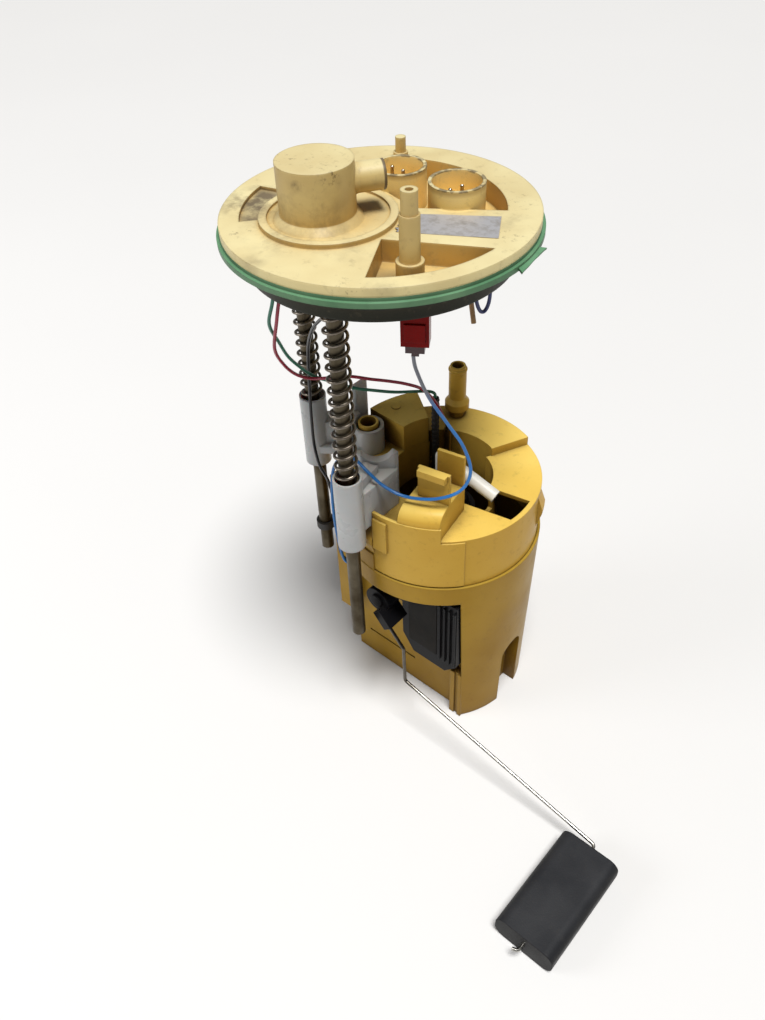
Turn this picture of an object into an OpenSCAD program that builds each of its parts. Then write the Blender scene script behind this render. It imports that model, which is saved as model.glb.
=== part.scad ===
/* [Pot] */
// Outer radius of the pot at its base
pot_r_base = 52.5; // [50:0.5:54]
// Outer radius of the pot at its rim
pot_r_rim = 56; // [55.5:0.5:58]
// Height of the pot's rim
pot_h = 120.5; // [119:0.5:124]
// Wall of the pot and of its cover
wall = 2.5; // [2:0.1:3]
// Thickness of the pot's floor
floor_t = 3; // [2:0.5:4]
// Distance from the axis to the flat that carries the level sensor
flat_y = 28; // [26:0.5:30]
// Distance from the axis to the wall at the right of that flat
recess_x = 42.2; // [42:0.1:44]
// Thickness of the shelf above the flat
shelf_t = 3; // [2.5:0.5:4]
// Depth that the cover plugs into the pot
plug_depth = 10; // [8:0.5:11]

/* [Cover] */
// Outer radius of the cover
cover_r = 54.3; // [54:0.1:54.5]
// Height of the cover's lowest top face above the pot's rim
cover_h = 33.7; // [31:0.1:36]
// Radius of the opening over the pump
mouth_r = 28; // [26:0.5:29]
// Rise of the sector at the back over the lowest top face
back_rise = 5.3; // [3:0.1:8]
// Rise of the left sector and of the front box
box_rise = 16.8; // [12:0.2:20]
// Outer radius of the hose spigot
spigot_r = 5; // [4.5:0.1:5.5]
// Length of the hose spigot above the cover
spigot_h = 33.5; // [25:0.5:40]
// Outer radius of the return tube
return_r = 5.75; // [5.25:0.25:6]
// Bore radius of the return tube
return_bore_r = 4.5; // [4:0.25:4.75]

/* [Flange] */
// Height of the flange's disc above the cover, with the springs free
flange_lift = 147.8; // [120:0.2:160]
// Radius of the flange's disc
flange_r = 70; // [68:0.5:74]
// Thickness of the flange's disc
disc_t = 4; // [3:0.5:5]
// Outer radius of the neck that enters the tank
neck_r = 61; // [60:0.5:62]
// Length of the neck below the disc
neck_h = 16; // [14:0.5:18]
// Depth of the pockets in the flange
pocket_depth = 10; // [8:0.5:11]
// Radius of the outlet turret
turret_r = 16.5; // [15:0.5:17]
// Height of the outlet turret above the disc
turret_h = 26; // [22:0.5:30]
// Outer radius of the outlet spigot
outlet_r = 6.25; // [6:0.05:6.5]
// Bore radius of the outlet spigot
outlet_bore_r = 4; // [3:0.25:4.5]
// Radius of the right connector socket
right_socket_r = 12.7; // [12:0.1:13]
// Radius of the left connector socket
left_socket_r = 12; // [11.5:0.1:12.5]
// Height of the sockets' rims above the disc
socket_h = 8; // [6:0.5:10]

/* [Seal] */
// Outer radius of the seal's lip
seal_r = 71.5; // [70.5:0.5:75]
// Thickness of the seal
seal_t = 4; // [3:0.5:5]

/* [Rods and springs] */
// Radius of a guide rod
rod_r = 3.75; // [3.25:0.05:4]
// Outer radius of a guide sleeve
sleeve_r = 7.3; // [7:0.1:7.5]
// Distance that the sleeves reach below the cover's top
sleeve_drop = 9.2; // [4:0.2:20]
// Length of a sleeve
sleeve_h = 45; // [40:0.5:50]
// Radius of a spring to the middle of its wire
spring_r = 5.2; // [5:0.05:5.3]
// Radius of the spring's wire
spring_wire_r = 0.8; // [0.6:0.05:0.9]
// Height of the rods' lower ends
rod_z = 74; // [60:1:90]

/* [Fuel pump] */
// Outer radius of the pump's can
can_r = 19; // [18.5:0.25:20]
// Length of the pump's can
can_h = 102; // [95:1:105]
// Radius of the rotor's shaft
shaft_r = 2; // [1.5:0.1:2.5]
// Radius of the armature
armature_r = 13; // [12:0.25:13.5]
// Radius of the commutator
commutator_r = 7; // [6:0.25:8]
// Radius of the check valve's ball
ball_r = 2.2; // [2:0.05:2.3]

/* [Level sensor] */
// Distance of the float arm's pivot below the shelf
pivot_drop = 13.1; // [12:0.1:16]
// Radius of the arm's hub
hub_r = 8; // [7:0.25:9]
// Radius of the pivot post
post_r = 3; // [2.5:0.1:3.5]
// Radius of the arm's wire
arm_r = 1; // [0.8:0.05:1.1]
// Reach of the float from the pivot
arm_reach = 154.6; // [120:0.2:170]
// Length of the float along its pin
float_len = 62; // [50:1:70]
// Width of the float
float_w = 34; // [28:1:40]
// Height of the float
float_h = 16; // [12:0.5:18]

/* [Wires] */
// Radius of the wires
wire_r = 0.85; // [0.6:0.05:1]

/* [Hidden] */
$fn = 64;

// Clearances: between parts that run, that plug together, and that are seated for good
run_gap = 0.08;
plug_gap = 0.2;
seat_gap = 0.05;
touch_gap = 0.3;
eps = 1;

// Heights of the pot and its cover
shelf_z = pot_h - plug_depth;
recess_z = shelf_z - shelf_t;
cover_z = pot_h + cover_h;
back_z = cover_z + back_rise;
box_z = cover_z + box_rise;
well_z = cover_z - 24.2;
raised_rim_h = 11.5;
raised_rim_from = -150;
rim_step = 0.3;
alcove_r = 9.3;
alcove_y = 1.8;
alcove_x = 43.5;
alcove_z = 41;
boss_w = 8.2;
boss_d = 5;
boss_h = 40;
slit_z = 20;
slit_h = 1.5;
slit_d = 1.2;
slit_left = -35;
slit_right = 2.5;
rail_x = -50;
rail_y = -37;
rail_w = 9;
rail_d = 10;
rail_z = 45;
rail_top = cover_z - 4.2;
cup_r = 26;
cup_h = 29;
foot_r = 8;
foot_angle = 136;
foot_at = (cup_r + foot_r + 1) * [cos(foot_angle), sin(foot_angle)];
foot_stem_r = 1.75;
jet_half = 6;
jet_at = [1, 1] * (cup_r + 9) / sqrt(2);

// The cover's sectors: start and end angles, seen from above
face_start = -52;
back_start = 65.5;
left_start = 144;
left_end = 177;
panel_from = -92;
panel_to = -39;
clip_to = -82;
well_back_r = 3;
end_plate = 3;
mould_step = 0.1;
turn = 11;
box_left = 2.8;
box_right = 24;
box_front = -60;
box_back = -22;
shoulder = 8;
rack_front = -39;
rack_h = 19;
slot_front = -16.8;
slot_back = 0.9;
slot_depth = 14;
slot_r = 51.5;
spigot_at = [-22, 41.5];
return_at = [-46, -8];
return_h = 17.8;
spigot_bore_r = 3.25;
spigot_neck_r = 4.25;
spigot_lead = 2.5;
collar_r = 7;
collar_z = 5.5;
collar_h = 7;
panel_t = 0.8;
hook_w = 9;
hook_r = 57;
hook_angles = [24, 136, 264];
ledge_top = cover_z - 9.2;
ledge_h = 6;
lead_at = [-19.5, 18.5];
lead_r = 2;
lead_bore_r = 1.4;
lead_z = cover_z - 20.2;
lead_h = 51;
lug_at = [-15, 24];
lug_w = 4;
lug_h = 18;
crimp_h = 7.5;

// Plans of the two brackets that stand on the cover and carry the sleeves
front_foot = [[-13, -61], [-2, -61], [-2, -34], [-6, -30], [-20, -43]];
front_horn = [[-20, -46], [-16, -46], [-3.5, -34.5], [-3.5, -31.5], [-7, -31], [-20, -43]];
front_web = [[-13, -61], [-4, -61], [-8, -42], [-14, -46]];
front_foot_h = 23.8;
front_web_h = 29.8;
saddle_r = 9;
saddle_at = [-12, -38.3];
saddle_angle = 43;
rear_foot = [[-74, -21], [-66, -32], [-44, -16.5], [-38, -8], [-46, 0.5], [-59, 2.5]];
rear_web = [[-72, -20], [-66, -29], [-54, -18], [-50, -8], [-56, -6]];
rear_foot_h = 5;
rear_collar_h = 15.8;
rear_web_h = 19.8;
rear_rib = [[-58.5, -6.5], [-55.5, 2.5]];

// Places and heights of the flange
flange_at = [-21, -19];
disc_z = cover_z + flange_lift;
disc_top = disc_z + disc_t;
neck_z = disc_z - neck_h;
neck_bore = neck_r - wall;
shoulder_r = 64;
shoulder_h = 9;
pocket_z = disc_top - pocket_depth;
tub_z = pocket_z - wall;
turret_at = [-13, -24.5];
turret_base_at = [-11.6, -20];
turret_base_r = 30;
turret_angle = 55;
turret_wall = 3;
turret_foot_r = 4.5;
turret_foot_bore = 2.5;
turret_foot_h = 18;
base_ring_w = 3.5;
outlet_z = disc_top + 16;
outlet_len = 29;
outlet_shoulder = turret_r + 1;
outlet_root_r = outlet_r + 1.2;
outlet_root_h = turret_wall + 2;
worn_ring = [45, 61];
worn_from = 195;
worn_to = 230;
worn_depth = 1.6;
front_pocket_plan = [[20, -22], [42.3, -60], [90, -60], [90, 14.5]];
front_pocket_grow = [[-1, 1], [-1, -1], [0, 0], [0, 1.2]];
socket_pocket_plan = [[-24, 18], [12, 8.5], [46, 31], [60, 60], [-24, 60]];
socket_pocket_grow = [[-1, -1], [0, -1], [1, 0], [0, 0], [-1, 0]];
socket_pocket_r = 55;
right_socket_at = [20.6, 27.5];
left_socket_at = [-10, 25.5];
socket_wall = 1.6;
socket_floor = 3;
pin_r = 0.9;
pin_top = disc_top + 6;
right_pins = [for (p = [[-4.4, -8.7], [-0.2, -4.6], [1.4, 1.7]]) right_socket_at + p];
left_pins = [for (p = [[-6, 1.3], [0.9, 0.9], [8.5, 2.3]]) left_socket_at + p];
post_at = [42.3, -30.2];
post_steps = [[5.75, 2], [4.2, 21], [3.4, 30.5]];
post_hole_r = 1.6;
rear_post_at = [-28.4, 47.3];
rear_post_h = 10;
plug_at = [22, -47];
plug_turn = 33;
plug_z = tub_z - 24.5;

// Places of the rods, and the heights of what they pass through
front_rod_at = [-7.5, -65];
rear_rod_at = [-69.5, -26];
rod_boss_r = 7.2;
rod_boss_z = disc_z - 9;
rod_top = disc_z - 2;
stop_r = 5.5;
stop_h = 5;
stop_z = rod_z + 18;
sleeve_z = cover_z - sleeve_drop;
sleeve_top = sleeve_z + sleeve_h;

// A spring's half-turns lean by the angle whose sine is 0.28, and its seat is a cup in the sleeve's top
spring_lean = asin(0.28);
spring_rise = 2 * spring_r * sin(spring_lean);
cup_least = 6;
spring_turns = ceil((rod_boss_z - sleeve_top + cup_least) / spring_rise / 2);
spring_seat = rod_boss_z - 2 * spring_turns * spring_rise - 2 * spring_wire_r;
cup_depth = sleeve_top - spring_seat;
coil_cup_r = spring_r + spring_wire_r + touch_gap;

// The pump, which stands on the axis of the pot
can_z = 24;
can_wall = 1.2;
can_top = can_z + can_h;
can_bore = can_r - can_wall;
cap_r = can_bore - seat_gap;
inlet_at = [10, 0];
inlet_r = 4.5;
inlet_bore_r = 3;
strainer_r = 20;
strainer_h = 6;
shaft_z = can_z - 2;
shaft_len = can_h - 11;
magnet_r = can_bore - touch_gap;
magnet_t = 3;
magnet_z = can_z + 16;
magnet_h = can_h - 47;
commutator_z = magnet_z + magnet_h + 3;
commutator_h = 8;
brush_h = 5;
brush_out = 12;
impeller_r = 15;
impeller_h = 4;
cap_z = can_top - 16;
cap_top = can_top + 12;
outlet_at = [4, -5];
nipple_r = 4;
nipple_top = cap_top + 10;
ball_room_r = ball_r + 0.6;
ball_room_z = can_top + 2;
ball_room_h = 8;
ball_seat_r = 1.5;
ball_z = ball_room_z + sqrt(ball_r * ball_r - ball_seat_r * ball_seat_r) + seat_gap;
pipe_r = 3.65;
pipe_bore_r = 2.4;
pipe_root = concat(outlet_at, [box_z]);
pipe_tip = [36.9, -1.4, cover_z + 3.8];
pipe_socket_h = 14;
pipe_plug = 10;

// The sensor on the flat, its pivot, and the arm in its plane
pivot_x = -2.6;
pivot_z = recess_z - pivot_drop;
sensor_left = 2;
sensor_right = 41.5;
sensor_low = 44;
sensor_high = recess_z - 3.5;
sensor_d = 10;
window_depth = 1.5;
rib_w = 1.4;
rib_pitch = 3.4;
plate_left = -12;
plate_low = recess_z - 27.5;
plate_d = 8;
hub_back = flat_y + sensor_d + 2;
hub_front = hub_back + 14;
post_head_r = post_r + 1;
wiper_t = 0.4;
wiper_w = 3;
wiper_angle = 14;
arm_y = -hub_front - 2.5;
arm_end_y = arm_y - 71.5;
knee_x = 18.4;
knee_z = 70;
heel_x = 18.8;
heel_z = 41;
arm_end_z = 9.3;
arm_root = 8.5;
hook_len = 3;
bead = 1.3;
float_y = arm_y - 5.5;
float_edge = 6;
float_drop = 0.8;
pin_gap = 0.1;

// The routes of the four long wires, from the flange down to the pot
green_route = [[-38, -63, 301.7], [-39, -67, 290], [-41, -69, 276], [-46.6, -68, 262],
    [-51.8, -59.4, 246.4],
    [-57, -50, 231], [-58.5, -40.5, 218.5], [-56, -35, 212], [-48, -32, 211], [-38, -26, 208],
    [-33, -16, 203], [-29, -4, 197], [-26, 8, 192], [-22, 15, 190], [-20, 18, 188],
    [-19.5, 18.5, 185]];
red_route = [[-34, -60, 301.7], [-37, -63, 290], [-39.7, -66.2, 276], [-42.9, -66.6, 264],
    [-51.4, -62.8, 244.6],
    [-58, -53, 228], [-59, -45, 217.5], [-56, -38, 212.5], [-47, -34, 214.5], [-38, -28, 216],
    [-31, -20, 213], [-27, -10, 208], [-23, -1, 203], [-20, 8, 196], [-17, 16, 184],
    [-15.5, 21, 172], [-15, 24, 165.9]];
black_route = [[-20, -46, 301.7], [-22, -49, 288], [-25, -52, 269], [-34, -47, 260], [-46, -42, 248],
    [-56, -37, 233], [-60, -35, 219], [-61, -35, 204], [-61, -36, 186], [-59, -38, 169],
    [-51, -43, 161], [-41, -47, 158], [-35, -50, 150], [-33, -51, 136], [-32, -52, 121],
    [-30, -51, 109], [-24, -43, 99], [-17, -37, 92], [-12.4, -33, 90]];
blue_route = [[22, -49, 263.7], [22, -47, 255], [25, -42, 239], [30, -35, 223], [36, -30, 209],
    [40, -29, 195], [37, -33, 184], [27, -40, 178], [13, -46, 176], [2, -50, 180], [-6, -52, 186],
    [-14, -52, 189.5], [-21, -53, 189], [-28, -54, 178], [-30, -55, 160], [-30, -55, 140],
    [-29, -54, 122], [-27, -52, 108], [-21, -44, 102], [-12.4, -33, 98]];
tan_route = [[25, -17, 301.7], [27, -19, 290], [30, -20, 279], [33, -21.5, 270]];
stub_route = [[30, -18, 301.7], [31, -19, 290], [31, -18, 280], [31.5, -15.5, 273], [32.5, -13, 272],
    [33.5, -11.5, 277], [34, -12, 288], [34, -13, 301.7]];

function tangent(p, i) = let(d = p[min(i + 1, len(p) - 1)] - p[max(i - 1, 0)]) d / norm(d);
function side(d, u) = let(v = u - (u * d) * d) v / norm(v);
function sides(p, i, u) = i == len(p) ? []
    : let(w = side(tangent(p, i), u)) concat([w], sides(p, i + 1, w));

// A wire of eight sides along a route
module cord(route, r) {
    n = 8;
    across = sides(route, 0, [1, 0.2, 0]);
    points = [for (i = [0 : len(route) - 1]) let(d = tangent(route, i), u = across[i], v = cross(d, u))
        for (k = [0 : n - 1]) route[i] + r * (cos(k * 360 / n) * u + sin(k * 360 / n) * v)];
    skin = [for (i = [0 : len(route) - 2]) for (k = [0 : n - 1])
        [i * n + k, (i + 1) * n + k, (i + 1) * n + (k + 1) % n, i * n + (k + 1) % n]];
    start_cap = [for (k = [0 : n - 1]) k];
    end_cap = [for (k = [n - 1 : -1 : 0]) (len(route) - 1) * n + k];
    polyhedron(points, concat(skin, [start_cap, end_cap]));
}

// A solid of revolution between two radii and two heights, over part of a turn
module sector(r_in, r_out, z_low, z_high, from, to) {
    rotate([0, 0, from]) rotate_extrude(angle = to - from)
        translate([r_in, z_low]) square([r_out - r_in, z_high - z_low]);
}

module ring(r_out, r_in, h) {
    difference() {
        cylinder(r = r_out, h = h);
        translate([0, 0, -eps]) cylinder(r = r_in, h = h + 2 * eps);
    }
}

module block(low, high) {
    translate(low) cube(high - low);
}

// The pot's outer cone, taken in by some amount
module pot_cone(inset) {
    cylinder(r1 = pot_r_base - inset, r2 = pot_r_rim - inset, h = pot_h);
}

// The space that the flat cuts from the pot, grown by some amount
module pot_recess(grow) {
    block([-2 * pot_r_rim, -2 * pot_r_rim, -eps], [recess_x + grow, grow - flat_y, recess_z + grow]);
}

// The arched alcove at the pot's foot, grown by some amount
module pot_alcove(grow) {
    half = alcove_r + grow;
    block([alcove_x - grow, alcove_y - half, -eps], [2 * pot_r_rim, alcove_y + half, alcove_z]);
    translate([alcove_x - grow, alcove_y, alcove_z]) rotate([0, 90, 0]) cylinder(r = half, h = pot_r_rim);
}

module pot_shell() {
    difference() {
        union() {
            pot_cone(0);
            sector(cover_r, pot_r_rim - rim_step, pot_h - eps, pot_h + raised_rim_h,
                raised_rim_from, panel_from);
        }
        pot_recess(0);
        pot_alcove(0);
        difference() {
            translate([0, 0, floor_t]) cylinder(r1 = pot_r_base - wall, r2 = pot_r_rim - wall, h = pot_h);
            pot_recess(wall);
            block([-2 * pot_r_rim, -2 * pot_r_rim, 0], [recess_x + wall, wall - flat_y, shelf_z]);
            pot_alcove(wall);
            ring(cup_r, cup_r - wall, floor_t + cup_h);
        }
        translate([0, 0, shelf_z]) cylinder(r = cover_r + plug_gap, h = pot_h);
    }
}

module pot() {
    color("goldenrod") difference() {
        union() {
            pot_shell();
            block([recess_x - boss_w, -flat_y - boss_d, 0], [recess_x, -flat_y, boss_h]);
            difference() {
                block([rail_x, rail_y, rail_z], [rail_x + rail_w, rail_y + rail_d, rail_top]);
                translate([0, 0, shelf_z]) cylinder(r = cover_r + plug_gap + panel_t, h = pot_h);
                translate([0, 0, -eps]) cylinder(r = pot_r_base - wall / 2, h = shelf_z + eps);
            }
        }
        block([recess_x - boss_w * 0.6, -flat_y - boss_d - eps, -eps],
            [recess_x - boss_w * 0.3, -flat_y - boss_d + 1, boss_h + eps]);
        block([slit_left, -flat_y - eps, slit_z], [slit_right, -flat_y + slit_d, slit_z + slit_h]);
        translate(concat(foot_at, [0])) foot_holes();
    }
}

module foot_holes() {
    translate([0, 0, -eps]) cylinder(r = foot_stem_r + seat_gap, h = floor_t + 2 * eps, $fn = 24);
    for (a = [0 : 90 : 270]) rotate([0, 0, a]) translate([foot_r - 3, 0, -eps])
        cylinder(r = 1.5, h = floor_t + 2 * eps, $fn = 24);
}

// The cover's low ring, one revolved profile: skirt, top and well wall
module cover_ring() {
    rotate_extrude() polygon([
        [cover_r - wall, shelf_z], [cover_r, shelf_z], [cover_r, cover_z], [mouth_r, cover_z],
        [mouth_r, well_z], [mouth_r + wall, well_z], [mouth_r + wall, cover_z - wall],
        [cover_r - wall, cover_z - wall]]);
}

// The two raised sectors at the back and the left, as full boxes, and then the room inside them
module raised_boxes() {
    sector(mouth_r + well_back_r, cover_r - 2 * mould_step, well_z, back_z,
        back_start, left_start + end_plate / 2);
    sector(mouth_r + mould_step, cover_r - mould_step, cover_z - wall / 2, box_z, left_start, left_end);
}

module raised_rooms() {
    room_r = cover_r - wall - 3 * mould_step;
    sector(mouth_r + well_back_r + wall, room_r, well_z - eps, back_z - wall,
        back_start + end_plate, left_start + end_plate / 3);
    sector(mouth_r + wall + mould_step, room_r, cover_z - 2 * wall, box_z - wall,
        left_start + end_plate, left_end - end_plate);
    sector(mouth_r - eps, mouth_r + well_back_r + mould_step, well_z - eps, back_z + eps,
        back_start + end_plate / 2, left_start - eps);
}

// The front box: its plan is square to the turned frame, and its shoulder is round
module front_box(inset) {
    intersection() {
        rotate([0, 0, turn]) block([box_left + inset, box_front, well_z],
            [box_right - inset, box_back - inset, box_z - inset]);
        union() {
            cylinder(r = cover_r - inset, h = box_z - shoulder);
            cylinder(r = cover_r - shoulder, h = box_z - inset);
            translate([0, 0, box_z - shoulder]) rotate_extrude()
                translate([cover_r - shoulder, 0]) circle(r = shoulder - inset);
        }
    }
}

module cover_slot() {
    intersection() {
        cylinder(r = slot_r, h = 2 * cover_z);
        rotate([0, 0, turn])
            block([0, slot_front, cover_z - slot_depth], [2 * cover_r, slot_back, cover_z + eps]);
    }
}

module cover_shell() {
    difference() {
        union() {
            cover_ring();
            raised_boxes();
            sector(cover_r - eps, cover_r + panel_t, pot_h + 1, cover_z - 1, panel_from, panel_to);
            sector(cover_r - eps, cover_r + panel_t, cover_z - 2, box_z - shoulder,
                panel_from, face_start);
            front_box(0);
        }
        raised_rooms();
        front_box(wall);
        cover_slot();
    }
}

module snap_hook(angle) {
    rotate([0, 0, angle - hook_w / 2]) rotate_extrude(angle = hook_w) polygon([
        [cover_r - eps, pot_h + 7], [hook_r, pot_h + 20], [hook_r, pot_h + 23],
        [cover_r - eps, cover_z - mould_step]]);
}

// The upright frame on the front box: a back plate, a front plate and a lip
module cover_rack() {
    block([box_left + 6.2, box_back - 1, well_z], [box_right, box_back + 1, box_z + rack_h]);
    block([box_left + 3.7, rack_front, box_z - eps], [box_right, rack_front + 2, box_z + rack_h]);
    block([box_left + 4.7, rack_front - 3, box_z + rack_h - 4],
        [box_right - 1, rack_front + 2, box_z + rack_h]);
}

// The ledge in the well that carries the lug, and the arm that holds the lead's sleeve
module lead_ledge() {
    sector(mouth_r - 2, mouth_r + well_back_r + eps, ledge_top - ledge_h, ledge_top, 117, 127);
    difference() {
        block(concat(lead_at - [4.5, 1], [lead_z]), concat(lead_at + [1.5, 7.5], [lead_z + ledge_h]));
        ring(2 * cover_r, mouth_r + well_back_r + 1, 2 * cover_z);
    }
}

module spigot() {
    cylinder(r = spigot_neck_r, h = back_z + 7);
    translate([0, 0, back_z + collar_z]) cylinder(r = collar_r, h = collar_h * 0.6);
    translate([0, 0, back_z + collar_z + collar_h * 0.6])
        cylinder(r1 = collar_r, r2 = spigot_r, h = collar_h * 0.4);
    translate([0, 0, back_z + collar_z]) cylinder(r = spigot_r, h = spigot_h - collar_z - spigot_lead);
    translate([0, 0, back_z + spigot_h - spigot_lead])
        cylinder(r1 = spigot_r, r2 = spigot_r - 0.6, h = spigot_lead);
}

module pot_cover() {
    color("goldenrod") difference() {
        union() {
            cover_shell();
            for (a = hook_angles) snap_hook(a);
            sector(cover_r - eps, hook_r - 0.5, cover_z - 15, cover_z + 5.8, panel_from + 1, clip_to);
            rotate([0, 0, turn]) cover_rack();
            lead_ledge();
            translate(concat(spigot_at, [0])) difference() {
                spigot();
                translate([0, 0, -eps]) cylinder(r = collar_r, h = back_z - wall / 2 + eps);
            }
            translate(concat(return_at, [cover_z - wall / 2]))
                cylinder(r = return_r, h = return_h + wall / 2);
            translate([-43.4, 12.8, box_z - eps]) cylinder(r = 2.5, h = 0.6 + eps, $fn = 24);
        }
        translate(concat(spigot_at, [well_z])) cylinder(r = spigot_bore_r, h = 2 * spigot_h + back_z);
        translate(concat(return_at, [well_z])) cylinder(r = return_bore_r, h = return_h + cover_z);
        translate(concat(lead_at, [well_z])) cylinder(r = lead_r + seat_gap, h = cover_z, $fn = 32);
    }
}

// A guide sleeve: a bore that the rod runs in, and a cup for the spring
module sleeve() {
    difference() {
        translate([0, 0, sleeve_z]) cylinder(r = sleeve_r, h = sleeve_h);
        sleeve_cuts();
    }
}

module sleeve_cuts() {
    translate([0, 0, sleeve_z - eps]) cylinder(r = rod_r + run_gap, h = sleeve_h + 2 * eps);
    translate([0, 0, spring_seat]) cylinder(r = coil_cup_r, h = cup_depth + eps);
}

// A plan standing on the cover's top
module standing(plan, h) {
    translate([0, 0, cover_z]) linear_extrude(h) polygon(plan);
}

module front_bracket() {
    horn_top = sleeve_top - 3;
    color("whitesmoke") difference() {
        union() {
            translate(front_rod_at) sleeve();
            standing(front_foot, front_foot_h);
            standing(front_horn, horn_top - cover_z);
            standing(front_web, front_web_h);
        }
        translate(front_rod_at) sleeve_cuts();
        translate(concat(saddle_at, [horn_top + saddle_r / 2])) rotate([90, 0, saddle_angle])
            translate([0, 0, -2 * saddle_r]) cylinder(r = saddle_r, h = 4 * saddle_r);
        cylinder(r = mouth_r + wall, h = 2 * cover_z);
    }
}

module rear_bracket() {
    color("whitesmoke") difference() {
        union() {
            translate(rear_rod_at) sleeve();
            standing(rear_foot, rear_foot_h);
            standing(rear_web, rear_web_h);
            translate(concat(return_at, [cover_z])) cylinder(r = return_r + 3, h = rear_collar_h);
            block(concat(rear_rib[0], [cover_z]), concat(rear_rib[1], [sleeve_top]));
        }
        translate(rear_rod_at) sleeve_cuts();
        translate(concat(return_at, [cover_z - eps])) cylinder(r = return_r + 1, h = 2 * sleeve_h);
    }
}

module pump_can() {
    color("silver") translate([0, 0, can_z]) ring(can_r, can_bore, can_h);
}

module pump_inlet_cap() {
    color("dimgray") difference() {
        union() {
            translate([0, 0, can_z - 6]) cylinder(r = can_r, h = 6);
            translate([0, 0, can_z - eps]) cylinder(r = cap_r, h = 6 + eps);
            translate(concat(inlet_at, [floor_t + strainer_h + touch_gap]))
                cylinder(r = inlet_r, h = can_z - floor_t - strainer_h - 1);
        }
        translate(concat(inlet_at, [0])) cylinder(r = inlet_bore_r, h = can_h);
        translate([0, 0, shaft_z - touch_gap]) cylinder(r = shaft_r + seat_gap, h = can_h);
    }
}

module pump_outlet_cap() {
    color("dimgray") difference() {
        union() {
            translate([0, 0, cap_z]) cylinder(r = cap_r, h = can_top - cap_z);
            translate([0, 0, can_top]) cylinder(r = can_r, h = 4);
            translate([0, 0, can_top + 4 - eps]) cylinder(r1 = can_r - 2, r2 = can_r - 5, h = 8 + eps);
            translate(concat(outlet_at, [can_top])) cylinder(r = nipple_r, h = nipple_top - can_top);
            for (x = [-14.5, 14.5]) block([x - 2.5, -3, commutator_z + 1], [x + 2.5, 3, cap_z + eps]);
        }
        translate([0, 0, cap_z - eps]) cylinder(r = shaft_r + seat_gap, h = 8);
        translate(concat(outlet_at, [0])) {
            translate([0, 0, cap_z - eps]) cylinder(r = ball_seat_r, h = can_h);
            translate([0, 0, ball_room_z]) cylinder(r = ball_room_r, h = ball_room_h);
        }
    }
}

module pump_magnets() {
    color("gray") for (a = [20, 200])
        sector(magnet_r - magnet_t, magnet_r, magnet_z, magnet_z + magnet_h, a, a + 140);
}

module pump_brushes() {
    color("dimgray") for (s = [0, 180]) rotate([0, 0, s])
        block([commutator_r + run_gap, -2, commutator_z + 2], [brush_out, 2, commutator_z + 2 + brush_h]);
}

module pump_mount() {
    color("black") translate([0, 0, can_z]) ring(cup_r - wall - touch_gap, can_r + seat_gap, 8);
}

module strainer() {
    color("white") translate([0, 0, floor_t]) difference() {
        union() {
            cylinder(r = strainer_r, h = strainer_h);
            translate(concat(inlet_at, [0])) cylinder(r = inlet_r + 2, h = strainer_h + 5);
        }
        translate(concat(inlet_at, [strainer_h])) cylinder(r = inlet_r + seat_gap, h = 10);
        translate(concat(inlet_at, [2])) cylinder(r = inlet_bore_r, h = 10);
    }
}

module foot_valve() {
    color("black") translate(concat(foot_at, [0])) {
        translate([0, 0, floor_t]) cylinder(r1 = foot_r, r2 = foot_r - 2, h = 2);
        translate([0, 0, 0.5]) cylinder(r = foot_stem_r, h = floor_t, $fn = 24);
    }
}

module jet_pump() {
    color("whitesmoke") translate(concat(jet_at, [floor_t])) difference() {
        union() {
            cylinder(r = jet_half, h = 12);
            cylinder(r = 3.2, h = 40);
            block([-jet_half, -jet_half, 0], [2 * jet_half, jet_half, 5]);
        }
        translate([0, 0, 6]) cylinder(r = 1.8, h = 60, $fn = 32);
    }
}

// The white pipe: a socket over the pump's outlet, an elbow and the sloping nozzle
module nozzle_pipe() {
    run = pipe_tip - pipe_root;
    fall = acos(run[2] / norm(run));
    aim = atan2(run[1], run[0]);
    plug_top = cap_top + pipe_plug;
    color("white") difference() {
        union() {
            translate(concat(outlet_at, [cap_top + 1])) cylinder(r = nipple_r + 1.5, h = pipe_socket_h);
            translate(concat(outlet_at, [plug_top])) cylinder(r = pipe_r, h = pipe_root[2] - plug_top);
            translate(pipe_root) sphere(r = pipe_r);
            translate(pipe_root) rotate([0, fall, aim]) cylinder(r = pipe_r, h = norm(run));
        }
        translate(concat(outlet_at, [cap_top]))
            cylinder(r = nipple_r + seat_gap, h = pipe_plug + touch_gap);
        translate(concat(outlet_at, [cap_top])) cylinder(r = pipe_bore_r, h = pipe_root[2] - cap_top);
        translate(pipe_root) sphere(r = pipe_bore_r);
        translate(pipe_root) rotate([0, fall, aim]) cylinder(r = pipe_bore_r, h = norm(run) + eps);
    }
}

module lead_sleeve() {
    color("black") translate(concat(lead_at, [lead_z])) ring(lead_r, lead_bore_r, lead_h);
}

// The flat lug on the ledge, with the crimp that grips the red wire
module contact_lug() {
    half = lug_w / 2;
    crimp_z = ledge_top + lug_h - crimp_h + 2.5;
    color("silver") {
        block(concat(lug_at - [half, 0.5], [ledge_top]),
            concat(lug_at + [half, 0.5], [ledge_top + lug_h]));
        block(concat(lug_at - [half / 2, 1], [crimp_z]),
            concat(lug_at + [half / 2, 1], [crimp_z + crimp_h]));
    }
}

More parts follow.
